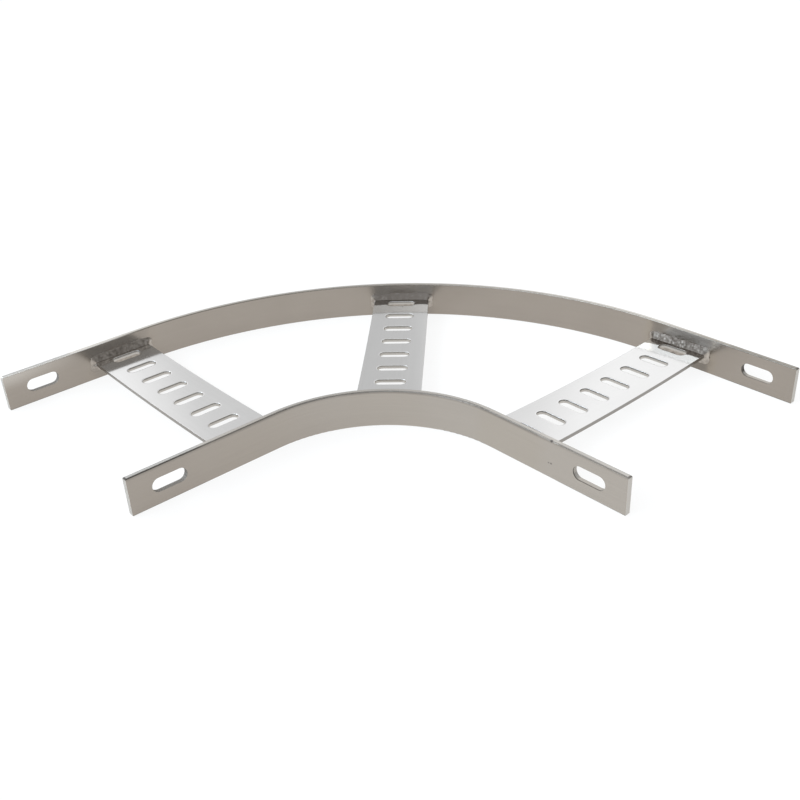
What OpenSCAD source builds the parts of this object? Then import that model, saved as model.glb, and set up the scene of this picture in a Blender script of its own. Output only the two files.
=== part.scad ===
// Flat 90 degree bend of a welded stainless steel cable ladder.
// Two side rails of flat bar, bent the easy way, carry three rungs of slotted strip.
// Each rung is coped to the rails and welded all round at both ends.
// Z is up and the bend lies on the bottom edges of its rails. One end faces -X, the other -Y.

/* [Bend] */
// Clear width between the side rails
clear_w = 200; // [120:10:400]
// Radius of the inner rail's face on the hollow side of the bend
inner_r = 110; // [80:5:300]
// Straight length of each rail past the bend
leg_l = 120; // [110:5:300]

/* [Side rails] */
// Height of the flat bar
rail_h = 30; // [26:1:60]
// Thickness of the flat bar
rail_t = 4; // [3:0.5:8]
// Rounding along the four long edges of the bar
rail_edge_r = 0.9; // [0.2:0.1:1]
// Rounding of the bar's end corners, seen from the side
rail_corner_r = 1.5; // [0.5:0.5:4]

/* [Coupling slots in the rails] */
// Length of a coupling slot, end to end
coupling_slot_l = 27; // [18:1:34]
// Width of a coupling slot, for the coupling bolt
coupling_slot_w = 11; // [7:0.5:14]
// From a rail's end to the middle of its coupling slot
coupling_slot_from_end = 31; // [22:1:45]

/* [Rungs] */
// Width of the strip
rung_w = 50; // [36:1:60]
// Thickness of the strip
rung_t = 3; // [1.5:0.5:4]
// Rounding along the four long edges of the strip
rung_edge_r = 0.4; // [0.1:0.1:0.6]
// Height of the rungs' underside above the rails' bottom edge
rung_rise = 11; // [8:0.5:14]
// From a rail's end to the middle of the nearest rung
rung_from_end = 102; // [90:1:110]

/* [Tie slots in the rungs] */
// Length of a tie slot, measured across its rung
tie_slot_l = 25; // [16:1:30]
// Width of a tie slot
tie_slot_w = 9; // [6:0.5:12]
// Distance from one tie slot's middle to the next
tie_slot_pitch = 25; // [16:1:40]
// From the outer rail's face to the middle of the first tie slot
tie_slot_from_rail = 9.5; // [9.5:0.5:20]
// Least metal between the last tie slot and the inner rail's face
tie_slot_land = 5; // [4:0.5:15]

/* [Welds] */
// How far a bead reaches along the rail
weld_reach = 6; // [3:0.5:8]
// How far a bead reaches out along the rung
weld_out = 2.5; // [2:0.5:4]
// How far the ridge of a bead's face stands proud of flat
weld_crown = 0.6; // [0.2:0.1:1]
// Thickness of a bead at its toes
weld_toe = 0.4; // [0.2:0.1:0.8]
// Hairline kept between a bead and the rail's face
weld_clear = 0.2; // [0.1:0.05:0.4]

/* [Hidden] */
$fn = 360;
bend_angle = 90;
inner_face_r = inner_r + rail_t;
outer_face_r = inner_face_r + clear_w;
outer_edge_r = outer_face_r + rail_t;
// The bend's centre lies this far from the middle of the part, along -X and along -Y
centre_shift = (outer_edge_r - leg_l) / 2;
rung_top = rung_rise + rung_t;
// Middle of a leg's rung, past the end of the curve
rung_past_bend = leg_l - rung_from_end;
tie_slot_span = clear_w - tie_slot_from_rail - tie_slot_w / 2 - tie_slot_land;
tie_slot_count = floor(tie_slot_span / tie_slot_pitch) + 1;
// Cuts run this far past the faces that they open
over = 1;
rail_colour = "#aaa39b";
rung_colour = "#cfcfcf";
weld_colour = "#8a8580";

// Moves the centre of the bend to its place in the part's frame
module in_frame() {
    translate([-centre_shift, -centre_shift, 0]) children();
}

// Swaps the two legs
module other_leg() {
    mirror([1, -1, 0]) children();
}

// Carries a section round the bend and down both legs.
// The section's x is distance from the bend's centre, its y is height.
module sweep_bend() {
    rotate_extrude(angle = bend_angle) children();
    rotate([90, 0, 0]) linear_extrude(leg_l) children();
    other_leg() rotate([90, 0, 0]) linear_extrude(leg_l) children();
}

// A slot with round ends, its length along x
module obround(length, width) {
    square([length - width, width], center = true);
    for (side = [-1, 1])
        translate([side * (length - width) / 2, 0]) circle(d = width);
}

// Section of a flat bar, with its four edges rounded
module bar_section(wide, high, edge_r) {
    translate([edge_r, 0]) square([wide - 2 * edge_r, high]);
    translate([0, edge_r]) square([wide, high - 2 * edge_r]);
    for (x = [edge_r, wide - edge_r], y = [edge_r, high - edge_r])
        translate([x, y]) circle(edge_r);
}

// What is taken off one square corner to round it
module corner_waste() {
    difference() {
        translate([-over, -over]) square(rail_corner_r + over);
        translate([rail_corner_r, rail_corner_r]) circle(rail_corner_r);
    }
}

// Slot and rounded corners of a rail's end on the -Y leg, seen from the side
module rail_end_cuts() {
    translate([coupling_slot_from_end, rail_h / 2]) obround(coupling_slot_l, coupling_slot_w);
    corner_waste();
    translate([0, rail_h]) mirror([0, 1]) corner_waste();
}

// A bent rail, whose face nearer the bend's centre has this radius
module rail(face_r) {
    difference() {
        sweep_bend() translate([face_r, 0]) bar_section(rail_t, rail_h, rail_edge_r);
        rail_end_tool(face_r);
        other_leg() rail_end_tool(face_r);
    }
}

module rail_end_tool(face_r) {
    translate([face_r - over, -leg_l, 0])
        rotate([90, 0, 90]) linear_extrude(rail_t + 2 * over) rail_end_cuts();
}

// Turns to a rung: x runs along it from the bend's centre, y across it from its middle line
module at_rung(turn, shift) {
    rotate(turn) translate([0, shift, 0]) children();
}

// A bar along a rung, of the strip's section grown by this much all round, reaching past both rails
module rung_bar(grow, edge_r) {
    rotate([90, 0, 90]) linear_extrude(outer_edge_r)
        translate([-rung_w / 2 - grow, rung_rise - grow])
            bar_section(rung_w + 2 * grow, rung_t + 2 * grow, edge_r);
}

// A strip cut from rail to rail, its ends following the rails' faces
module rung(turn, shift) {
    difference() {
        intersection() {
            sweep_bend() translate([inner_face_r, 0]) square([clear_w, rail_h]);
            at_rung(turn, shift) rung_bar(0, rung_edge_r);
        }
        at_rung(turn, shift) tie_slots();
    }
}

module tie_slots() {
    for (i = [0 : tie_slot_count - 1])
        translate([outer_face_r - tie_slot_from_rail - i * tie_slot_pitch, 0, rung_rise - over])
            linear_extrude(rung_t + 2 * over) rotate(90) obround(tie_slot_l, tie_slot_w);
}

// Section of the beads above and below a rung's end, with the strip between them.
// Its x is distance from the rail's face, its y is height.
module bead_section(way) {
    flat_middle = [weld_out, weld_reach] / 2;
    ridge = flat_middle + weld_crown * [weld_reach, weld_out] / norm([weld_out, weld_reach]);
    foot = weld_reach + weld_toe;
    polygon([
        [way * weld_clear, rung_rise - foot],
        [way * ridge[0], rung_rise - ridge[1]],
        [way * weld_out, rung_rise - weld_toe],
        [way * weld_out, rung_top + weld_toe],
        [way * ridge[0], rung_top + ridge[1]],
        [way * weld_clear, rung_top + foot]
    ]);
}

// Where a rail's face lies along x at this distance y across: straight along a leg, round on the bend
function face_at(face_r, y, all_curved) =
    all_curved || y > 0 ? sqrt(face_r * face_r - y * y) : face_r;

// One side of a bead in plan, a slope beside the strip from behind the rail's face to past the bead's tip
function bead_side(side, shift, face_r, way, all_curved) =
    let (
        strip_y = side * rung_w / 2,
        foot_y = strip_y + side * weld_reach,
        foot = [face_at(face_r, shift + foot_y, all_curved) + way * weld_toe, foot_y],
        tip = [face_at(face_r, shift + strip_y, all_curved) + way * weld_out, strip_y + side * weld_toe],
        run_on = (foot - tip) / 2,
        start = foot + run_on,
        finish = tip - run_on
    )
    [[way > 0 ? 0 : outer_edge_r, start[1]], start, finish, [way > 0 ? outer_edge_r : 0, finish[1]]];

// Plan of a bead, spreading to both sides of the strip at the rail
module bead_plan(shift, face_r, way, all_curved) {
    near = bead_side(-1, shift, face_r, way, all_curved);
    far = bead_side(1, shift, face_r, way, all_curved);
    polygon(concat(near, [for (i = [len(far) - 1 : -1 : 0]) far[i]]));
}

// Weld all round a rung's end, at the rail face of this radius.
// The rung leaves that face outwards (way 1) or towards the bend's centre (way -1).
module weld(turn, shift, face_r, way, all_curved) {
    difference() {
        intersection() {
            sweep_bend() translate([face_r, 0]) bead_section(way);
            at_rung(turn, shift) rung_bar(weld_reach, weld_reach);
            at_rung(turn, shift) linear_extrude(rail_h) bead_plan(shift, face_r, way, all_curved);
        }
        at_rung(turn, shift) rung_bar(0, rung_edge_r);
    }
}

module leg_weld(face_r, way) {
    color(weld_colour) weld(0, -rung_past_bend, face_r, way, false);
}

module bend_weld(face_r, way) {
    color(weld_colour) weld(bend_angle / 2, 0, face_r, way, true);
}

module leg_rung() {
    color(rung_colour) rung(0, -rung_past_bend);
}

module outer_rail() {
    color(rail_colour) in_frame() rail(outer_face_r);
}

module inner_rail() {
    color(rail_colour) in_frame() rail(inner_r);
}

module rung_right() {
    in_frame() leg_rung();
}

module rung_left() {
    in_frame() other_leg() leg_rung();
}

module rung_middle() {
    color(rung_colour) in_frame() rung(bend_angle / 2, 0);
}

module weld_right_outer() {
    in_frame() leg_weld(outer_face_r, -1);
}

module weld_right_inner() {
    in_frame() leg_weld(inner_face_r, 1);
}

module weld_left_outer() {
    in_frame() other_leg() leg_weld(outer_face_r, -1);
}

module weld_left_inner() {
    in_frame() other_leg() leg_weld(inner_face_r, 1);
}

module weld_middle_outer() {
    in_frame() bend_weld(outer_face_r, -1);
}

module weld_middle_inner() {
    in_frame() bend_weld(inner_face_r, 1);
}

outer_rail();
inner_rail();
rung_left();
rung_middle();
rung_right();
weld_left_outer();
weld_left_inner();
weld_middle_outer();
weld_middle_inner();
weld_right_outer();
weld_right_inner();
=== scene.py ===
import math
import random
import bpy
from mathutils import Matrix, Vector, geometry, noise


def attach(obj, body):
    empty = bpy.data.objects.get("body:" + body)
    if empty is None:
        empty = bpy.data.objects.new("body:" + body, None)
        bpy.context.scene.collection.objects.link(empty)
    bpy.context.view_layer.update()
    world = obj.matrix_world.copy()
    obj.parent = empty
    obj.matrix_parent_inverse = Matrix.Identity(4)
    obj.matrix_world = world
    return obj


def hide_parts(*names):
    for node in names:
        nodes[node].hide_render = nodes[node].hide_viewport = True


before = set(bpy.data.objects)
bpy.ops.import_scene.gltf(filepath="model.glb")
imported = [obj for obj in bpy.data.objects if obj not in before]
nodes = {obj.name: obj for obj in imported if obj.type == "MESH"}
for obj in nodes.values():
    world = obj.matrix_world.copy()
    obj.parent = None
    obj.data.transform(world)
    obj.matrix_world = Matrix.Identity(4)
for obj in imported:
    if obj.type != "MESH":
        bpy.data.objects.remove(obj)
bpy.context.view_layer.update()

mm = 0.001  # the frame is in metres, the sizes below are in millimetres
noiseSpan = (0.3, 0.7)  # most of a noise texture's values lie between these
print("frame loaded:", ", ".join(sorted(nodes)))


# sRGB hex to the linear colour that the shaders use
def hexLinear(code):
    parts = [int(code[i:i + 2], 16) / 255 for i in (1, 3, 5)]
    return tuple(p / 12.92 if p <= 0.04045 else ((p + 0.055) / 1.055) ** 2.4 for p in parts) + (1.0,)


# Adds a shader node. Sockets among the inputs are linked, the rest are set as values
def addNode(tree, kind, inputs=None, **settings):
    node = tree.nodes.new("ShaderNode" + kind)
    for name, value in settings.items():
        setattr(node, name, value)
    for key, value in (inputs or {}).items():
        if isinstance(value, bpy.types.NodeSocket):
            tree.links.new(value, node.inputs[key])
        else:
            node.inputs[key].default_value = value
    return node


def maths(tree, operation, *values, clamp=False):
    return addNode(tree, "Math", dict(enumerate(values)), operation=operation, use_clamp=clamp).outputs[0]


def vectors(tree, operation, *values):
    node = addNode(tree, "VectorMath", dict(enumerate(values)), operation=operation)
    return node.outputs["Value" if operation in ("LENGTH", "DISTANCE", "DOT_PRODUCT") else "Vector"]


def scaled(tree, vector, by):
    return addNode(tree, "VectorMath", {0: vector, "Scale": by}, operation="SCALE").outputs[0]


# Goes from one end to the other while the value crosses the span
def fade(tree, value, span, ends=(0.0, 1.0), smooth=False):
    inputs = dict(enumerate((value, *span, *ends)))
    kind = "SMOOTHSTEP" if smooth else "LINEAR"
    return addNode(tree, "MapRange", inputs, interpolation_type=kind).outputs[0]


# Mixes two colours, which are sockets or hex codes
def mixColour(tree, share, first, second):
    first, second = (hexLinear(c) if isinstance(c, str) else c for c in (first, second))
    inputs = {"Factor": share, "A": first, "B": second}
    return addNode(tree, "Mix", inputs, data_type="RGBA").outputs["Result"]


def mixValue(tree, share, first, second):
    return addNode(tree, "Mix", {"Factor": share, "A": first, "B": second}).outputs[0]


# Colours by value, from a list of at least two places and colours in rising order
def ramp(tree, value, stops):
    node = addNode(tree, "ValToRGB", {0: value})
    marks = node.color_ramp.elements
    for i, (place, colour) in enumerate(stops):
        if i < 2:
            marks[i].position = place
        mark = marks[i] if i < 2 else marks.new(place)
        mark.color = colour
    return node.outputs[0]


def noiseAt(tree, place, scale, detail, roughness=0.5):
    inputs = {"Vector": place, "Scale": scale, "Detail": detail, "Roughness": roughness}
    return addNode(tree, "TexNoise", inputs).outputs["Fac"]


def placeInMm(tree):
    return scaled(tree, addNode(tree, "TexCoord").outputs["Object"], 1 / mm)


def facingUp(tree):
    normal = addNode(tree, "NewGeometry").outputs["Normal"]
    return addNode(tree, "SeparateXYZ", {0: normal}).outputs[2]


def attribute(tree, name):
    return addNode(tree, "Attribute", attribute_name=name).outputs["Fac"]


def bumpFrom(tree, height, strength, distance, **under):
    inputs = {"Height": height, "Strength": strength, "Distance": distance * mm, **under}
    return addNode(tree, "Bump", inputs).outputs[0]


def finishMetal(tree, colour, rough, bump):
    inputs = {"Base Color": colour, "Metallic": 1.0, "Roughness": rough, "Normal": bump}
    shader = addNode(tree, "BsdfPrincipled", inputs)
    addNode(tree, "OutputMaterial", {"Surface": shader.outputs[0]})


def newMaterial(name):
    material = bpy.data.materials.new(name)
    material.use_nodes = True
    material.node_tree.nodes.clear()
    return material, material.node_tree


def newPiece(name, points, faces, material):
    mesh = bpy.data.meshes.new(name)
    mesh.from_pydata([[c * mm for c in p] for p in points], [], faces)
    mesh.validate()
    for polygon in mesh.polygons:
        polygon.use_smooth = True
    mesh.materials.append(material)
    piece = bpy.data.objects.new(name, mesh)
    bpy.context.scene.collection.objects.link(piece)
    return piece


# Gives each point of a piece a value that its material reads
def setAttribute(piece, name, values):
    piece.data.attributes.new(name, "FLOAT", "POINT").data.foreach_set("value", values)


# The bend that the pieces share. A rung sits at a turn round its centre and a shift across, and curve says
# which side of it meets the round part of the rails, 0 if all of it does. The welds have pulled each strip
# into a slight bow, lowest at this distance from the centre and lifted by this much at the outer rail.
# Twist tilts a strip across, the more the farther it is from that lowest place
bend = {
    "centre": (-99.0, -99.0),
    "innerFace": 114.0,
    "outerFace": 314.0,
    "rungs": {
        "right": {"turn": 0.0, "shift": -18.0, "curve": 1, "lowest": 208.0, "lift": 2.4, "twist": -0.0002},
        "middle": {"turn": 45.0, "shift": 0.0, "curve": 0, "lowest": 212.0, "lift": 2.5, "twist": 0.0},
        "left": {"turn": 90.0, "shift": 18.0, "curve": -1, "lowest": 194.0, "lift": 2.55, "twist": 0.0},
    },
}
midRadius = (bend["innerFace"] + bend["outerFace"]) / 2
halfClear = midRadius - bend["innerFace"]


# How much higher the bow brings a strip, at this place on it
def bowAt(x, y, rung):
    rise = rung["lift"] * ((x - rung["lowest"]) / (bend["outerFace"] - rung["lowest"])) ** 2
    return rise + rung["twist"] * (x - rung["lowest"]) * y


# Where a rail's face lies along a rung, at this distance across it: straight on a leg, round on the bend
def faceAt(radius, across, rung):
    y = across + rung["shift"]
    onLeg = rung["curve"] != 0 and y * rung["curve"] <= 0
    return radius if onLeg else math.sqrt(radius * radius - y * y)


def rungMatrix(rung):
    cx, cy = bend["centre"]
    turn = Matrix.Rotation(math.radians(rung["turn"]), 4, "Z")
    return Matrix.Translation((cx * mm, cy * mm, 0)) @ turn @ Matrix.Translation((0, rung["shift"] * mm, 0))


# Stainless flat bar, rolled, pickled and bent cold. Pickling leaves an even warm grey satin with faint
# rolling lines along the bar. The sawn ends are cleaner and brighter. The narrow top edge is painted lighter
# as painted light, duller on the outer rail's right leg, and the rounded corners carry painted shade, with a
# painted highlight on the outer rail's left leg. The welds leave a brown grey tint that ends in straw, which
# at the right rung also carries painted shade. Lengths are in mm. Places x and y are
# from the bend's centre, so x is below zero on the left leg and y on the right one
flatBar = {
    "thick": 4.0,
    "legLength": 120.0,
    "face": "#9c948b",
    "faceLight": "#a39b92",
    "mottle": 35.0,                     # across a cloud of the pickled finish
    "rollingLine": 0.9,                 # between rolling lines
    "lineLength": 60.0,
    "lineShade": (0.965, 1.03),
    "lineBump": 0.06,
    "lineHigh": 0.02,
    "roughness": (0.20, 0.27),
    "innerLight": "#b0aaa2",            # inner rail, growing along the bend towards the right leg
    "innerLightAlong": (260.0, 40.0),
    "innerLightShare": (0.15, 1.0),
    "tints": [(0.15, "#a59a86"), (0.6, "#857c73"), (0.95, "#6d6862")],  # by heat
    "tintTo": 37.0,                     # from a rung's middle, no tint
    "tintFrom": 21.0,                   # full tint
    "waver": 2.5,                       # either way, of the tint's border
    "waverPerMm": 0.11,
    "tintDepth": (0.3, 3.8),            # into the bar
    "tintAtBack": 0.13,
    "fullTintHeat": 0.6,
    "tintShare": 0.18,
    "rightTintAndShade": 0.58,             # heat tint and painted shade at the right rung, below these y
    "rightTintAndShadeFrom": (60.0, 20.0),
    "legFade": (0.0, -40.0),            # a leg's own looks come in along this stretch of it
    "farRight": (-30.0, -80.0),
    # painted shade on the rails' rounded corners, with a painted highlight on the outer rail's left leg
    "corner": "#8c867e",
    "leftCornerHighlight": "#dedbd6",            # painted highlight on the outer rail's left leg, painted shade on its right one
    "rightCornerShade": "#7a756e",
    "innerCornerShade": "#807b75",
    "innerRightCornerShade": "#97918a",
    "innerCornerRough": 0.35,           # added to the inner rail's corners
    "cornerUp": (0.05, 0.3),            # how much a corner faces up, where it leaves the bar's face
    "leftLight": "#bcb6ae",             # under the top of the left leg's outer end
    "leftLightHeight": (16.0, 29.0),
    "leftLightAlong": (-50.0, -110.0),
    "topShadeHeight": (27.0, 29.4),       # painted shade below the inner rail's top, more so by the welds
    "smudge": (0.45, 0.75),
    "topHeight": (28.6, 28.9),          # where the top edge and its corners begin
    # the narrow top edge, painted lighter as painted light
    "edge": "#bbb8b3",
    "rightEdgeShade": "#9c978f",             # painted shade: the top edge of the outer rail's right leg, duller
    "edgeUp": (0.97, 0.998),
    "slotWall": "#b3aea7",
    "slotLipShade": "#5f5a55",               # painted shade on the first part of the coupling slots' walls
    "slotLipShadeDepth": (1.1, 0.6),
    "leftLipShade": 0.55,                    # the left leg's slots carry half the painted shade, evenly
    "slotEndUp": (0.75, 0.5),           # steep parts of the outer rail's right slot carry the painted shade all through
    "slotAlong": (-60.0, -65.0),
    "slotRough": (0.25, 0.55),          # added to the slots' walls, right leg and left leg
    "skin": (0.02, 0.06),               # walls begin this far under the bar's faces
    "sawn": "#c6c2bc",
    "sawnSkin": (0.3, 0.1),
    "pits": [(11.0, -153.4, 11.7, 0.7), (11.0, -155.6, 11.9, 0.9), (11.4, -155.2, 29.6, 1.5),
             (123.3, 122.8, 23.5, 0.9), (215.0, -146.0, 14.3, 0.9)],  # place in the frame and radius
    "pit": "#4a4643",
    "pitShare": 0.85,
    "pitCore": 0.3,                     # of a pit's radius
}


# Where a point of a rail is: along the bar, across the bend, and on which rail and leg
def barPlaces(tree):
    inMm = placeInMm(tree)
    fromCentre = vectors(tree, "SUBTRACT", inMm, (*bend["centre"], 0.0))
    x, y, z = addNode(tree, "SeparateXYZ", {0: fromCentre}).outputs
    xCurve = maths(tree, "MAXIMUM", x, 0.0)
    yCurve = maths(tree, "MAXIMUM", y, 0.0)
    radius = vectors(tree, "LENGTH", addNode(tree, "CombineXYZ", {0: xCurve, 1: yCurve}).outputs[0])
    arc = maths(tree, "MULTIPLY", maths(tree, "ARCTAN2", yCurve, xCurve), radius)
    legs = maths(tree, "SUBTRACT", maths(tree, "MINIMUM", y, 0.0), maths(tree, "MINIMUM", x, 0.0))
    along = maths(tree, "ADD", arc, legs)
    return {
        "inMm": inMm, "fromCentre": fromCentre, "x": x, "y": y, "z": z, "radius": radius, "along": along,
        "bar": addNode(tree, "CombineXYZ", {0: along, 1: z, 2: radius}).outputs[0],
        "inner": maths(tree, "LESS_THAN", radius, midRadius),
        "onLeft": fade(tree, x, flatBar["legFade"]),
        "onRight": fade(tree, y, flatBar["legFade"]),
        "legEnd": maths(tree, "MINIMUM", x, y),
        "up": facingUp(tree),
    }


# Heat tint, by how near a point is to the nearest rung's middle line and how deep in the bar. At the right
# rung it is stronger and also carries painted shade
def tintByHeat(tree, at, colour):
    look = flatBar
    distances = []
    for rung in bend["rungs"].values():
        turn = math.radians(rung["turn"])
        away = vectors(tree, "DOT_PRODUCT", at["fromCentre"], (-math.sin(turn), math.cos(turn), 0.0))
        distances.append(maths(tree, "ABSOLUTE", maths(tree, "SUBTRACT", away, rung["shift"])))
    nearest = distances[0]
    for distance in distances[1:]:
        nearest = maths(tree, "MINIMUM", nearest, distance)
    waver = noiseAt(tree, at["bar"], look["waverPerMm"], detail=3.0)
    waver = fade(tree, waver, noiseSpan, (-look["waver"], look["waver"]))
    halo = fade(tree, maths(tree, "ADD", nearest, waver), (look["tintTo"], look["tintFrom"]), smooth=True)
    fromMiddle = maths(tree, "ABSOLUTE", maths(tree, "SUBTRACT", at["radius"], midRadius))
    depths = [halfClear + depth for depth in look["tintDepth"]]
    heat = maths(tree, "MULTIPLY", halo, fade(tree, fromMiddle, depths, (1.0, look["tintAtBack"])))
    tint = ramp(tree, heat, [(place, hexLinear(code)) for place, code in look["tints"]])
    # heat tint, stronger at the right rung, where it also carries painted shade
    most = fade(tree, at["y"], look["rightTintAndShadeFrom"], (look["tintShare"], look["rightTintAndShade"]))
    share = fade(tree, heat, (0.0, look["fullTintHeat"]), (0.0, most))
    return mixColour(tree, share, colour, tint), halo


# Painted shade on the rounded corners, and a painted highlight on those of the outer rail's left leg
def cornerColours(tree, at):
    look = flatBar
    colour = mixColour(tree, at["onLeft"], look["corner"], look["leftCornerHighlight"])
    colour = mixColour(tree, at["onRight"], colour, look["rightCornerShade"])
    farRight = fade(tree, at["y"], look["farRight"])
    inner = mixColour(tree, farRight, look["innerCornerShade"], look["innerRightCornerShade"])
    return mixColour(tree, at["inner"], colour, inner)


# Lighter stretch of the outer rail's face and painted shade on the inner one's, both under the top edge
def shadeUnderTop(tree, at, halo, colour, corners):
    look = flatBar
    light = fade(tree, at["z"], look["leftLightHeight"], smooth=True)
    light = maths(tree, "MULTIPLY", light, fade(tree, at["x"], look["leftLightAlong"]))
    light = maths(tree, "SUBTRACT", light, at["inner"], clamp=True)
    colour = mixColour(tree, light, colour, look["leftLight"])
    # painted shade under the inner rail's top
    smudge = fade(tree, halo, (0.0, 1.0), look["smudge"])
    smudge = maths(tree, "MULTIPLY", smudge, fade(tree, at["z"], look["topShadeHeight"], smooth=True))
    smudge = maths(tree, "MULTIPLY", smudge, at["inner"])
    return mixColour(tree, smudge, colour, corners)


# Walls of the coupling slots, which are the points of a leg inside the bar's thickness, with painted shade at
# their lip
def shadeSlots(tree, at, colour):
    look = flatBar
    faces = (bend["outerFace"], bend["innerFace"] - look["thick"])
    depth = maths(tree, "SUBTRACT", at["radius"], fade(tree, at["inner"], (0.0, 1.0), faces))
    offBack = fade(tree, depth, [look["thick"] - skin for skin in look["skin"]])
    wall = maths(tree, "MULTIPLY", fade(tree, depth, look["skin"]), offBack)
    wall = maths(tree, "MULTIPLY", wall, fade(tree, at["legEnd"], look["slotAlong"]))
    # painted shade at the slots' lips and at the steep ends of the outer rail's right slot
    slotEnd = maths(tree, "MULTIPLY", fade(tree, at["up"], look["slotEndUp"]), at["onRight"])
    slotEnd = maths(tree, "SUBTRACT", slotEnd, at["inner"], clamp=True)
    lip = maths(tree, "MAXIMUM", fade(tree, depth, look["slotLipShadeDepth"]), slotEnd)
    lip = mixValue(tree, at["onLeft"], lip, look["leftLipShade"])
    return mixColour(tree, wall, colour, mixColour(tree, lip, look["slotWall"], look["slotLipShade"])), wall


# Narrow top edge, painted lighter as painted light, and the rounded corners between it and the faces, which
# carry painted shade and a painted highlight
def shadeTop(tree, at, colour, corners):
    look = flatBar
    onTop = fade(tree, at["z"], look["topHeight"])
    # painted shade and highlight on the rounded corners
    corner = maths(tree, "MULTIPLY", fade(tree, at["up"], look["cornerUp"]), onTop)
    colour = mixColour(tree, corner, colour, corners)
    # top edge painted lighter as painted light, duller on the outer rail's right leg as painted shade
    edge = maths(tree, "MULTIPLY", fade(tree, at["up"], look["edgeUp"]), onTop)
    dull = maths(tree, "SUBTRACT", at["onRight"], at["inner"], clamp=True)
    colour = mixColour(tree, edge, colour, mixColour(tree, dull, look["edge"], look["rightEdgeShade"]))
    return colour, maths(tree, "SUBTRACT", corner, edge, clamp=True)


def pickledStainlessBar():
    material, tree = newMaterial("pickledStainlessBar")
    look = flatBar
    at = barPlaces(tree)
    thin = (1 / look["lineLength"], 1 / look["rollingLine"], 1 / look["rollingLine"])
    lines = noiseAt(tree, vectors(tree, "MULTIPLY", at["bar"], thin), 1.0, detail=5.0, roughness=0.6)
    clouds = noiseAt(tree, at["bar"], 1 / look["mottle"], detail=4.0)
    colour = mixColour(tree, clouds, look["face"], look["faceLight"])
    lighter = fade(tree, at["along"], look["innerLightAlong"], look["innerLightShare"])
    lighter = maths(tree, "MULTIPLY", at["inner"], lighter)
    colour = mixColour(tree, lighter, colour, look["innerLight"])
    colour = scaled(tree, colour, fade(tree, lines, noiseSpan, look["lineShade"]))
    colour, halo = tintByHeat(tree, at, colour)
    corners = cornerColours(tree, at)
    colour = shadeUnderTop(tree, at, halo, colour, corners)
    colour, slotWall = shadeSlots(tree, at, colour)
    colour, rounded = shadeTop(tree, at, colour, corners)
    ends = [skin - look["legLength"] for skin in look["sawnSkin"]]
    colour = mixColour(tree, fade(tree, at["legEnd"], ends), colour, look["sawn"])
    for px, py, pz, size in look["pits"]:
        away = vectors(tree, "DISTANCE", at["inMm"], (px, py, pz))
        pit = fade(tree, away, (size, size * look["pitCore"]), (0.0, look["pitShare"]))
        colour = mixColour(tree, pit, colour, look["pit"])
    rough = fade(tree, lines, noiseSpan, look["roughness"])
    torn = fade(tree, at["onLeft"], (0.0, 1.0), look["slotRough"])
    rough = maths(tree, "MULTIPLY_ADD", slotWall, torn, rough)
    rounded = maths(tree, "MULTIPLY", rounded, at["inner"])
    rough = maths(tree, "MULTIPLY_ADD", rounded, look["innerCornerRough"], rough)
    finishMetal(tree, colour, rough, bumpFrom(tree, lines, look["lineBump"], look["lineHigh"]))
    return material


barMaterial = pickledStainlessBar()
for name in ("outer_rail", "inner_rail"):
    nodes[name].data.materials.clear()
    nodes[name].data.materials.append(barMaterial)
print("rails finished")


# Slotted strip of a rung, bowed, with its long edges rounded and the slots' rims rolled in by the punch
strip = {
    "width": 50.0,
    "underside": 10.0,    # at the lowest place of the bow
    "top": 13.0,
    "edgeRound": 0.08,
    "slotLength": 25.0,
    "slotWidth": 9.0,
    "slotPitch": 25.0,
    "slotFromRail": 9.5,
    "slots": 8,
    "rollWide": 0.8,      # rolled rim, seen from above
    "rollDeep": 0.25,
    "burr": 0.12,         # rounding of the lower rim
    "flatRing": 0.25,     # a flat ring keeps the shading of the face flat beside each rim
    "mesh": 4.0,          # mm between the points that let the faces follow the bow
    "meshMargin": 1.5,    # mm that those points keep from every edge
    "endSteps": 40,       # across the strip, at its ends
    "slotSteps": 20,      # round each end of a slot
    "rimSteps": 4,        # over a rounded edge
}
firstSlot = bend["outerFace"] - strip["slotFromRail"]
slotMiddles = [firstSlot - i * strip["slotPitch"] for i in range(strip["slots"])]


# Moves a closed outline inwards by this much
def inset(outline, by):
    moved = []
    for i, p in enumerate(outline):
        a, b = Vector(outline[i - 1]), Vector(outline[(i + 1) % len(outline)])
        p = Vector(p)
        first, second = (p - a).normalized(), (b - p).normalized()
        n1, n2 = Vector((-first.y, first.x)), Vector((-second.y, second.x))
        moved.append(tuple(p + (n1 + n2) * by / (1 + n1.dot(n2))))
    return moved


def slotOutline(middle, grow):
    half = (strip["slotLength"] - strip["slotWidth"]) / 2
    r = strip["slotWidth"] / 2 + grow
    points = []
    for end in (1, -1):
        for i in range(strip["slotSteps"] + 1):
            a = math.pi * i / strip["slotSteps"]
            points.append((middle + end * r * math.cos(a), end * (half + r * math.sin(a))))
    return points


# Distance of a place on the strip from the nearest slot's rim, below zero inside a slot
def fromSlot(x, y):
    reach = (strip["slotLength"] - strip["slotWidth"]) / 2
    return min(math.hypot(x - m, max(abs(y) - reach, 0)) for m in slotMiddles) - strip["slotWidth"] / 2


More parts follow.
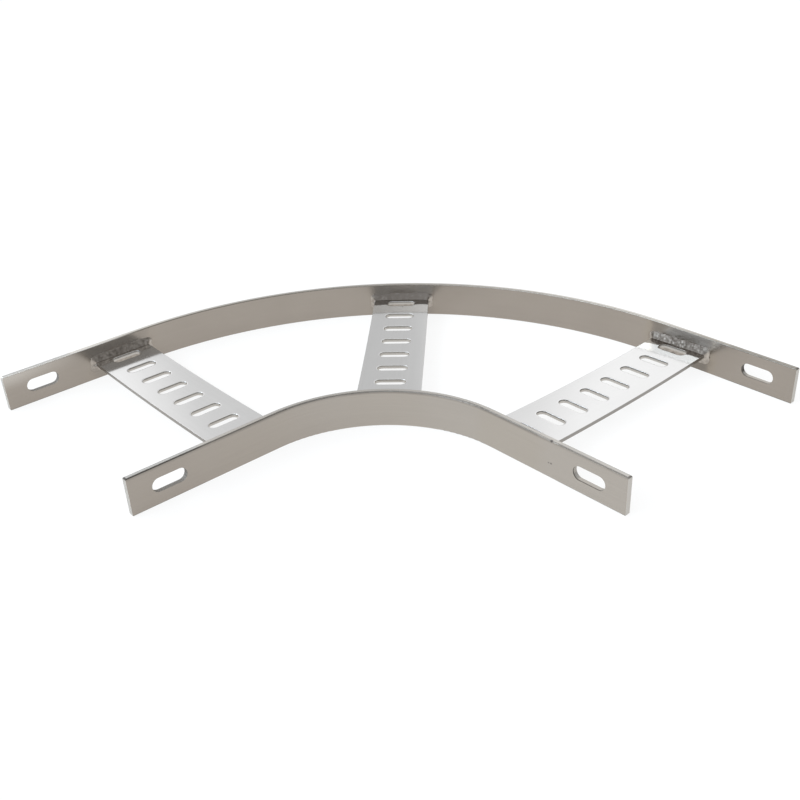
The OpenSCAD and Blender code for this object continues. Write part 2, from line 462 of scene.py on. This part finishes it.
# Outline of a strip, whose ends follow the rails' faces
def stripOutline(rung):
    half = strip["width"] / 2
    across = [-half + strip["width"] * i / strip["endSteps"] for i in range(strip["endSteps"] + 1)]
    outer = [(faceAt(bend["outerFace"], y, rung), y) for y in across]
    inner = [(faceAt(bend["innerFace"], y, rung), y) for y in reversed(across)]

    # points along a long edge, between the two ends
    def longEdge(start, stop, y):
        steps = int(abs(stop - start) / strip["mesh"])
        return [(start + (stop - start) * i / steps, y) for i in range(1, steps)]

    farEdge = longEdge(outer[-1][0], inner[0][0], half)
    nearEdge = longEdge(inner[-1][0], outer[0][0], -half)
    return outer + farEdge + inner + nearEdge


# Points inside a strip's faces, clear of its edges and slots
def stripGrid(rung):
    gap, margin = strip["mesh"], strip["meshMargin"]
    columns = int((bend["outerFace"] - bend["innerFace"]) / gap)
    rows = int((strip["width"] / 2 - margin) / gap)
    grid = []
    for column in range(columns):
        for row in range(-rows, rows + 1):
            x, y = bend["innerFace"] + gap * column, gap * row
            inner, outer = faceAt(bend["innerFace"], y, rung), faceAt(bend["outerFace"], y, rung)
            if inner + margin < x < outer - margin and fromSlot(x, y) > margin:
                grid.append((x, y))
    return grid


# Rings of points and their heights from the top face over a rim, wall and rim to the bottom face.
# Outline gives the ring at a distance from the wall, and a rim is so wide and so deep
def wallRings(outline, topRim, bottomRim):
    low, high, flat = strip["underside"], strip["top"], strip["flatRing"]
    arc = [math.radians(90 * i / strip["rimSteps"]) for i in range(strip["rimSteps"] + 1)]
    (wide, deep), (under, rise) = topRim, bottomRim
    rings = [(outline(wide + flat), high)]
    rings += [(outline(wide * (1 - math.sin(a))), high - deep * (1 - math.cos(a))) for a in arc]
    rings += [(outline(under * (1 - math.sin(a))), low + rise * (1 - math.cos(a))) for a in reversed(arc)]
    return rings + [(outline(under + flat), low)]


def buildStrip(side, material):
    rung = bend["rungs"][side]
    points, faces, tops, bottoms = [], [], [], []

    def addPoints(places, level):
        points.extend((x, y, level + bowAt(x, y, rung)) for x, y in places)

    # joins rings of points to a wall, and keeps its top and bottom rings for the faces
    def addWall(rings):
        first, count = len(points), len(rings[0][0])
        for ring, level in rings:
            addPoints(ring, level)
        for r in range(len(rings) - 1):
            for i in range(count):
                a, b = first + r * count + i, first + r * count + (i + 1) % count
                faces.append((a, a + count, b + count, b))
        tops.append(range(first, first + count))
        bottoms.append(range(len(points) - count, len(points)))

    outline = stripOutline(rung)
    edge, burr = strip["edgeRound"], strip["burr"]
    addWall(wallRings(lambda by: inset(outline, by), (edge, edge), (edge, edge)))
    for middle in slotMiddles:
        rim = (strip["rollWide"], strip["rollDeep"])
        addWall(wallRings(lambda by: slotOutline(middle, by)[::-1], rim, (burr, burr)))

    # the two faces, round their slots, with a grid of points that follows the bow
    grid = stripGrid(rung)
    insideOutline, nearness = 1, 1e-6
    for loops, level, flip in ((tops, strip["top"], False), (bottoms, strip["underside"], True)):
        index = [i for loop in loops for i in loop] + list(range(len(points), len(points) + len(grid)))
        owner = [n for n, loop in enumerate(loops) for i in loop] + [0] * len(grid)
        addPoints(grid, level)
        edges, start = [], 0
        for loop in loops:
            edges += [(start + i, start + (i + 1) % len(loop)) for i in range(len(loop))]
            start += len(loop)
        flat = [Vector(points[i][:2]) for i in index]
        made = geometry.delaunay_2d_cdt(flat, edges, [], insideOutline, nearness)
        triangles, origins = made[2], made[3]
        for triangle in triangles:
            corners = [origins[k][0] for k in triangle]
            owners = {owner[k] for k in corners}
            # three corners on one slot's ring lie across the slot itself
            if len(owners) > 1 or 0 in owners:
                corners = [index[k] for k in corners]
                faces.append(tuple(reversed(corners)) if flip else tuple(corners))

    piece = newPiece("rung_strip_" + side, points, faces, material)
    setAttribute(piece, "depth", [strip["top"] + bowAt(x, y, rung) - z for x, y, z in points])
    # the painted reflection band and the darker painted lip shade, per strip
    setAttribute(piece, "scorched", [stripLook["reflectionBandAt"][side]] * len(points))
    setAttribute(piece, "grime", [stripLook["lipShadeAt"][side]] * len(points))
    piece.matrix_world = rungMatrix(rung)
    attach(piece, "root")
    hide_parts("rung_" + side)


# Stainless strip, cold rolled between bright rolls. It mirrors the room softly and faint lines run along it.
# The punched walls are painted with shade at the lip, darker on the left and right strips, and torn light
# below.
# The sheared long sides are painted darker as shade, the right strip carries a painted dark band along its
# outer bead in place of the bead's reflection, and the welds leave a narrow brown grey tint.
# Lengths are in mm
stripLook = {
    "face": "#d4d4d4",
    "faceDark": "#cecece",
    "cloudsPerMm": 0.03,
    "rollingLine": 0.6,
    "lineLength": 120.0,
    "lineDeep": 5.0,
    "lineShade": (0.98, 1.015),
    "lineBump": 0.04,
    "lineHigh": 0.01,
    "wave": 28.0,                 # from crest to crest of the strip's slight waves
    "waveHigh": 0.006,
    "roughness": (0.08, 0.12),
    "wallRough": 0.25,            # added to the walls
    "wallSteep": (0.8, 0.3),      # how much a wall still faces up or down
    "wall": "#c4c0ba",
    # painted shade at the top of the punched walls, darker on some strips
    "lip": "#aeaaa4",
    "darkerLipShade": "#827e78",
    "lipShadeAt": {"left": 0.6, "middle": 0.0, "right": 1.0},  # share of the darker painted lip shade in the slots
    "lipShadeDeep": (0.7, 1.2),        # painted shade on the walls reaches this depth
    "sheared": "#999590",         # long sheared sides, painted darker as shade
    "shadedSideSkin": (0.4, 0.1),
    "tint": "#b5afa6",            # by the welds
    "tintShare": 0.8,
    "tintDeep": 4.5,              # from the rails
    "waver": 3.0,                 # of the borders of tint and the painted reflection band
    "waverPerMm": 0.2,
    "scorch": "#7a746e",          # painted reflection: dark band along the outer bead of the right strip, standing in for the bead's and rail's dark reflection
    "reflectionBandAt": {"left": 0.0, "middle": 0.0, "right": 1.0},
    "reflectionBandDeep": (10.7, 9.7),    # from the rail
    "reflectionBandSpread": 4.0,          # deeper towards one edge of the strip, between these places across it
    "reflectionBandSpreadAcross": (10.0, 25.0),
    "reflectionBandShare": (0.75, 1.0),   # darker on that side
    "reflectionBandShareAcross": (-3.0, 8.0),
}


def coldRolledStrip():
    material, tree = newMaterial("coldRolledStainlessStrip")
    look = stripLook
    inMm = placeInMm(tree)
    x, y = addNode(tree, "SeparateXYZ", {0: inMm}).outputs[:2]
    thin = (1 / look["lineLength"], 1 / look["rollingLine"], 1 / look["lineDeep"])
    lines = noiseAt(tree, vectors(tree, "MULTIPLY", inMm, thin), 1.0, detail=4.0)
    clouds = noiseAt(tree, inMm, look["cloudsPerMm"], detail=3.0)
    colour = mixColour(tree, clouds, look["face"], look["faceDark"])
    colour = scaled(tree, colour, fade(tree, lines, noiseSpan, look["lineShade"]))

    # heat tint by both rails
    waver = noiseAt(tree, inMm, look["waverPerMm"], detail=2.0)
    fromMiddle = maths(tree, "ABSOLUTE", maths(tree, "SUBTRACT", x, midRadius))
    fromMiddle = maths(tree, "MULTIPLY_ADD", waver, look["waver"], fromMiddle)
    tinted = (halfClear + look["waver"] / 2 - look["tintDeep"], halfClear)
    heat = fade(tree, fromMiddle, tinted, (0.0, look["tintShare"]))
    colour = mixColour(tree, heat, colour, look["tint"])

    # painted reflection: dark band along the outer bead, on the strip that has it
    fromRail = maths(tree, "SUBTRACT", bend["outerFace"], x)
    fromRail = maths(tree, "MULTIPLY_ADD", waver, look["waver"], fromRail)
    spread = fade(tree, y, look["reflectionBandSpreadAcross"], (0.0, -look["reflectionBandSpread"]))
    scorch = fade(tree, maths(tree, "ADD", fromRail, spread), look["reflectionBandDeep"])
    share = fade(tree, y, look["reflectionBandShareAcross"], look["reflectionBandShare"])
    scorch = maths(tree, "MULTIPLY", scorch, maths(tree, "MULTIPLY", share, attribute(tree, "scorched")))
    colour = mixColour(tree, scorch, colour, look["scorch"])

    # sheared and punched walls, with painted shade on the sheared sides and at the lip, which follows the bow
    wall = fade(tree, maths(tree, "ABSOLUTE", facingUp(tree)), look["wallSteep"])
    # painted shade at the walls' lip
    lip = mixColour(tree, attribute(tree, "grime"), look["lip"], look["darkerLipShade"])
    wallColour = mixColour(tree, fade(tree, attribute(tree, "depth"), look["lipShadeDeep"]), lip, look["wall"])
    # sheared long sides, painted darker as shade
    sides = [strip["width"] / 2 - skin for skin in look["shadedSideSkin"]]
    sheared = fade(tree, maths(tree, "ABSOLUTE", y), sides)
    wallColour = mixColour(tree, sheared, wallColour, look["sheared"])
    colour = mixColour(tree, wall, colour, wallColour)
    rough = fade(tree, lines, noiseSpan, look["roughness"])
    rough = maths(tree, "MULTIPLY_ADD", wall, look["wallRough"], rough)
    waves = noiseAt(tree, scaled(tree, inMm, 1 / look["wave"]), 1.0, detail=1.0)
    waved = bumpFrom(tree, waves, 1.0, look["waveHigh"])
    finishMetal(tree, colour, rough, bumpFrom(tree, lines, look["lineBump"], look["lineHigh"], Normal=waved))
    return material


stripMaterial = coldRolledStrip()
for side in bend["rungs"]:
    buildStrip(side, stripMaterial)
print("rungs finished")


# Weld bead round a rung's end: low, hollow towards its toes and uneven, with dots where puddles stand out.
# A lump's numbers are its share of the size, mm from lump to lump, and a place in the noise
bead = {
    "reach": (3.4, 6.0),     # along the rail, at the strip's sides and above it
    "reachLumps": [(0.22, 5.0, 3.1), (0.16, 2.2, 9.7)],
    "out": (1.4, 2.5),       # along the rung, at its sides and above it
    "outLumps": [(0.30, 4.0, 5.3), (0.2, 1.8, 1.9)],
    "hollow": 1.05,          # 1 is a flat face, more is a hollow one
    "crown": 0.05,           # mm that the face stands proud
    "sink": 0.05,            # toes end this far under the surfaces
    "rootDeep": 1.0,         # how far the bead runs into the rail
    "rootRise": 2.0,         # mm above the strip, where it does
    "rootUnder": 0.3,        # how far it runs into the strip
    "rootOut": 0.4,          # of its reach along the rung, where it does
    "step": 0.45,            # mm between sections
    "facePoints": 17,        # points over a bead's face, in each section
    "boxy": 0.8,             # 1 turns the bead's corners round, less makes them squarer
    "grain": (1.7, 2.3),     # mm from grain to grain, and a place in the noise
    "grainAcross": 2.5,
    "sideGrain": 0.06,       # more grain at the sides and below
    "darkFall": 3.0,         # how soon the soot and painted shade end towards the sides
    "darkLeast": 0.1,
    "darkGrain": 0.3,        # less soot and shade on the grain
    "dotPlace": (0.2, 0.75),  # across the face
    "dotScale": (0.4, 1.0),
    "dotSpacing": (0.7, 1.3),
    "crowdPlace": (0.1, 0.7),
    "crowdSpread": 2.5,      # mm
    "seed": 11,
    "seedStep": 7,
    # waviness, mm of grain, soot and painted shade, then dots: mm between them, mm across, mm high and how
    # much painted highlight they carry.
    # Crowds of dots are at these places round the bead, with so many in each
    "runs": {
        "left": {"wavy": 0.7, "grain": 0.064, "soot": 0.55, "dots": 5.5, "dotSize": 1.2, "dotHigh": 0.14,
                 "dotBright": 0.4, "crowds": [(49.0, 5)]},
        "middle": {"wavy": 0.2, "grain": 0.0192, "soot": 1.0, "dots": 9.0, "dotSize": 0.7, "dotHigh": 0.05,
                   "dotBright": 0.0, "crowds": [(49.0, 4)]},
        "right": {"wavy": 0.6, "grain": 0.056, "soot": 0.8, "dots": 1.6, "dotSize": 1.5, "dotHigh": 0.06,
                  "dotBright": 0.35, "crowds": [(1.0, 8), (49.0, 5)]},
    },
}


# Places round the bead, across its face, and sizes of the dots
def placeDots(run, total, seed):
    rng = random.Random(seed)
    dots, place = [], 0.0
    while place < total - run["dots"]:
        dots.append((place, rng.uniform(*bead["dotPlace"]), rng.uniform(*bead["dotScale"])))
        place += run["dots"] * rng.uniform(*bead["dotSpacing"])
    spread = bead["crowdSpread"]
    for middle, count in run["crowds"]:
        for i in range(count):
            dots.append((middle + rng.uniform(-spread, spread), rng.uniform(*bead["crowdPlace"]), 1.0))
    return dots


def buildBead(side, end, seed, material):
    rung, run = bend["rungs"][side], bead["runs"][side]
    radius, way = (bend["outerFace"], -1) if end == "outer" else (bend["innerFace"], 1)
    half = strip["width"] / 2
    cap = (strip["top"] - strip["underside"]) / 2
    level = (strip["top"] + strip["underside"]) / 2
    flatRun = 2 * (half - cap)
    turnRun = math.pi * (cap + bead["reach"][0] / 2)
    total = 2 * (flatRun + turnRun)
    dots = placeDots(run, total, seed)

    # strip's edge and the way out from it, at this distance round the bead
    def pathAt(s):
        if s < flatRun:
            return half - cap - s, math.pi / 2
        s -= flatRun
        if s < turnRun:
            return cap - half, math.pi / 2 + math.pi * s / turnRun
        s -= turnRun
        if s < flatRun:
            return cap - half + s, 1.5 * math.pi
        return half - cap, 1.5 * math.pi + math.pi * (s - flatRun) / turnRun

    # smooth unevenness with this many mm from lump to lump, the same again after a whole turn
    def lumps(s, t, pitch, salt):
        r, a = total / (2 * math.pi * pitch), 2 * math.pi * s / total
        return noise.noise(Vector((r * math.cos(a) + seed, r * math.sin(a) + salt, t)))

    # size at this place round the bead, from the one at the sides to the one above
    def uneven(sizes, kinds, s, above):
        size = sizes[0] + (sizes[1] - sizes[0]) * above
        bumps = sum(share * lumps(s, 0.0, pitch, salt) for share, pitch, salt in kinds)
        return size * (1 + run["wavy"] * bumps)

    # how much of a dot is at this place round and across the bead
    def dotAt(s, t, length):
        most = 0.0
        for place, low, size in dots:
            away = math.hypot(s - place, (t - low) * length) / (run["dotSize"] * size)
            if away < 1:
                most = max(most, size * (1 - away * away) ** 2)
        return most

    count, rows = int(total / bead["step"]), bead["facePoints"]
    points, faces, soot, sparkle = [], [], [], []
    for i in range(count):
        s = total * i / count
        y0, a = pathAt(s)
        ny, nz = math.cos(a), math.sin(a)
        onTop = max(0.0, nz)
        reach = uneven(bead["reach"], bead["reachLumps"], s, abs(nz))
        out = uneven(bead["out"], bead["outLumps"], s, abs(nz))
        length = math.hypot(reach, out)
        # soot and painted shade on the top of the bead, the sides left lighter as painted light
        sooty = run["soot"] * max(0.0, 1 - bead["darkFall"] * (1 - onTop)) + bead["darkLeast"]
        rough = run["grain"] + bead["sideGrain"] * (1 - onTop)
        ny, nz = (math.copysign(abs(n) ** bead["boxy"], n) for n in (ny, nz))
        for j in range(rows):
            t = j / (rows - 1)
            arch = math.sin(math.pi * t)
            grain = lumps(s, t * bead["grainAcross"], *bead["grain"]) * arch
            dot = dotAt(s, t, length)
            swell = bead["crown"] * arch + rough * grain + run["dotHigh"] * dot
            up = reach * (1 - t) ** bead["hollow"] - bead["sink"] * t + swell * out / length
            off = out * t ** bead["hollow"] - bead["sink"] * (1 - t) + swell * reach / length
            soot.append(sooty - bead["darkGrain"] * grain)
            # painted highlight on the dots
            sparkle.append(run["dotBright"] * dot)
            points.append((off, y0 + ny * (cap + up), nz * (cap + up)))
        for off, rise in ((out * bead["rootOut"], -bead["rootUnder"]), (-bead["rootDeep"], bead["rootRise"])):
            points.append((off, y0 + ny * (cap + rise), nz * (cap + rise)))
            soot.append(0.0)
            sparkle.append(0.0)

    placed = []
    for off, y, z in points:
        x = faceAt(radius, y, rung)
        placed.append((x + way * off, y, level + z + bowAt(x, y, rung)))
    width = rows + 2
    for i in range(count):
        here, following = i * width, (i + 1) % count * width
        for j in range(width):
            beside = (j + 1) % width
            face = (here + j, here + beside, following + beside, following + j)
            faces.append(face[::-1] if way > 0 else face)
    piece = newPiece("weld_bead_%s_%s" % (side, end), placed, faces, material)
    setAttribute(piece, "soot", soot)
    setAttribute(piece, "sparkle", sparkle)
    piece.matrix_world = rungMatrix(rung)
    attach(piece, "root")
    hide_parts("weld_%s_%s" % (side, end))


# Stainless weld metal, as laid and not cleaned: grey brown above the rung, partly soot and partly painted
# shade, lighter at its corners as painted light, with fine bright specks painted as highlights where the
# ripples would catch the light
weldLook = {
    "cleanAndLit": "#b2aaa1",
    "sooty": "#655e57",
    # colour of the painted highlights on the dots
    "paintedGlint": "#d4cec5",
    "cloudsPerMm": 0.25,
    "cloudSpan": (0.35, 0.65),
    "patchy": 0.2,           # soot and painted shade, more or less
    "roughness": (0.31, 0.40),
    "grain": 0.9,            # mm from grain to grain
    "grainHigh": 0.04,       # mm
    "grainBump": 0.5,
}


def asLaidWeld():
    material, tree = newMaterial("asLaidStainlessWeld")
    look = weldLook
    inMm = placeInMm(tree)
    clouds = noiseAt(tree, inMm, look["cloudsPerMm"], detail=3.0)
    patchy = fade(tree, clouds, look["cloudSpan"], (-look["patchy"], look["patchy"]))
    # soot and painted shade, with lighter sides as painted light
    sooty = maths(tree, "ADD", attribute(tree, "soot"), patchy, clamp=True)
    colour = mixColour(tree, sooty, look["cleanAndLit"], look["sooty"])
    # painted highlights on the dots
    colour = mixColour(tree, attribute(tree, "sparkle"), colour, look["paintedGlint"])
    rough = fade(tree, sooty, (0.0, 1.0), look["roughness"])
    grain = noiseAt(tree, inMm, 1 / look["grain"], detail=4.0)
    finishMetal(tree, colour, rough, bumpFrom(tree, grain, look["grainBump"], look["grainHigh"]))
    return material


weldMaterial = asLaidWeld()
seed = bead["seed"]
for side in bend["rungs"]:
    for end in ("outer", "inner"):
        buildBead(side, end, seed, weldMaterial)
        seed += bead["seedStep"]
print("weld beads finished")


# White floor. Camera and mirror rays see it nearly white, with a little of its real shading for the shadow
floor = {"size": 12000.0, "paper": "#f4f4f2", "shadowShare": 0.14}


def whitePaper():
    material, tree = newMaterial("whiteStudioPaper")
    path = addNode(tree, "LightPath").outputs
    seen = maths(tree, "MAXIMUM", path["Is Camera Ray"], path["Is Glossy Ray"])
    share = maths(tree, "MULTIPLY", seen, 1 - floor["shadowShare"])
    dull = addNode(tree, "BsdfDiffuse", {"Color": hexLinear(floor["paper"])}).outputs[0]
    white = addNode(tree, "Emission", {"Strength": 1.0}).outputs[0]
    mixed = addNode(tree, "MixShader", {0: share, 1: dull, 2: white}).outputs[0]
    addNode(tree, "OutputMaterial", {"Surface": mixed})
    return material


reach = floor["size"] / 2
floorCorners = [(-reach, -reach, 0), (reach, -reach, 0), (reach, reach, 0), (-reach, reach, 0)]
newPiece("studio_floor", floorCorners, [(0, 1, 2, 3)], whitePaper())


# Soft room light. The metal mirrors it: behind the part a pale wall, in front a dim room under high soft
# lights, strongest to the left. Strengths go by height, from the horizon up, and by place from left to right
room = {
    "back": 50.0,             # heading of the pale wall
    "behind": (0.15, 0.6),    # where the front gives way to the wall
    "heights": (0.0, 1.0),
    "wall": [(0.0, 1.05), (0.30, 0.95), (0.65, 0.95), (0.92, 0.5)],
    "wallReach": (-0.5, 0.5),
    "wallAcross": [(-0.5, 0.85), (-0.4, 1.6), (-0.25, 1.4), (-0.2, 1.0), (-0.05, 0.8), (0.02, 0.82),
                   (0.035, 0.96), (0.16, 1.16), (0.2, 1.45), (0.4, 1.35), (0.5, 0.85)],
    "dim": [(0.0, 0.35), (0.2, 0.42), (0.40, 0.5), (0.9, 0.45)],
    "high": [(0.39, 0.0), (0.46, 1.0), (0.66, 1.0), (0.80, 0.0)],
    "highReach": (-1.0, 1.0),
    "highAcross": [(-1.0, 8.8), (-0.6, 6.8), (-0.14, 2.7), (0.35, 0.7), (1.0, 0.5)],
    "most": 8.8,
    "plain": "#ffffff",
    "highColour": "#e2f0ff",  # where the high lights are strongest
    "coolPower": 0.3,         # how soon that colour fades with their strength
}


def lightRoom():
    world = bpy.data.worlds.new("softRoom")
    bpy.context.scene.world = world
    world.use_nodes = True
    tree = world.node_tree
    tree.nodes.clear()
    ray = addNode(tree, "TexCoord").outputs["Generated"]

    # strength by place, from a list of places between these ends
    def graded(place, ends, stops):
        marks = []
        for at, strength in stops:
            marks.append(((at - ends[0]) / (ends[1] - ends[0]), [strength / room["most"]] * 3 + [1]))
        return maths(tree, "MULTIPLY", ramp(tree, fade(tree, place, ends), marks), room["most"])

    heading = math.radians(room["back"])
    backward = vectors(tree, "DOT_PRODUCT", ray, (math.cos(heading), math.sin(heading), 0.0))
    rightward = vectors(tree, "DOT_PRODUCT", ray, (math.sin(heading), -math.cos(heading), 0.0))
    upward = addNode(tree, "SeparateXYZ", {0: ray}).outputs[2]
    wall = graded(upward, room["heights"], room["wall"])
    wall = maths(tree, "MULTIPLY", wall, graded(rightward, room["wallReach"], room["wallAcross"]))
    high = graded(upward, room["heights"], room["high"])
    high = maths(tree, "MULTIPLY", high, graded(rightward, room["highReach"], room["highAcross"]))
    front = maths(tree, "ADD", high, graded(upward, room["heights"], room["dim"]))
    behind = fade(tree, backward, room["behind"], smooth=True)
    strength = mixValue(tree, behind, front, wall)
    cool = maths(tree, "POWER", maths(tree, "DIVIDE", high, room["most"]), room["coolPower"])
    cool = maths(tree, "MULTIPLY", cool, maths(tree, "SUBTRACT", 1.0, behind))
    colour = mixColour(tree, cool, room["plain"], room["highColour"])

    # the camera itself sees plain white
    seen = addNode(tree, "LightPath").outputs["Is Camera Ray"]
    strength = mixValue(tree, seen, strength, 1.0)
    colour = mixColour(tree, seen, colour, room["plain"])
    background = addNode(tree, "Background", {"Color": colour, "Strength": strength})
    addNode(tree, "OutputWorld", {"Surface": background.outputs[0]})


# Large soft lamp over the part
lamp = {"place": (200, 300, 1500), "aim": (0, 0, 0), "size": 2000, "watts": 6.0}


def hangLamp():
    light = bpy.data.lights.new("overhead", "AREA")
    light.shape = "SQUARE"
    light.size = lamp["size"] * mm
    light.energy = lamp["watts"]
    holder = bpy.data.objects.new("overhead", light)
    holder.location = [c * mm for c in lamp["place"]]
    aim = Vector([c * mm for c in lamp["aim"]]) - holder.location
    holder.rotation_euler = aim.to_track_quat("-Z", "Y").to_euler()
    bpy.context.scene.collection.objects.link(holder)


lightRoom()
hangLamp()
print("room lit")


# Camera, from the rails' edges in the photograph. Angles are in degrees, the near and far clip in metres
view = {
    "place": (-429.30, -520.20, 383.13),
    "heading": 49.777,
    "lookDown": 29.288,
    "roll": -2.866,
    "lens": 44.34,
    "sensor": 36.0,
    "clip": (0.01, 50.0),
}


def setCamera():
    data = bpy.data.cameras.new("camera")
    data.sensor_width = view["sensor"]
    data.lens = view["lens"]
    data.clip_start, data.clip_end = view["clip"]
    camera = bpy.data.objects.new("camera", data)
    heading, down, roll = (math.radians(view[key]) for key in ("heading", "lookDown", "roll"))
    ahead = Vector((math.cos(heading) * math.cos(down), math.sin(heading) * math.cos(down), -math.sin(down)))
    right = Vector((math.sin(heading), -math.cos(heading), 0))
    up = right.cross(ahead)
    turnedRight = math.cos(roll) * right + math.sin(roll) * up
    turnedUp = math.cos(roll) * up - math.sin(roll) * right
    axes = Matrix((turnedRight, turnedUp, -ahead)).transposed().to_4x4()
    camera.matrix_world = Matrix.Translation([c * mm for c in view["place"]]) @ axes
    bpy.context.scene.collection.objects.link(camera)
    bpy.context.scene.camera = camera


setCamera()
bpy.context.scene.view_settings.view_transform = "Standard"
print("camera set")
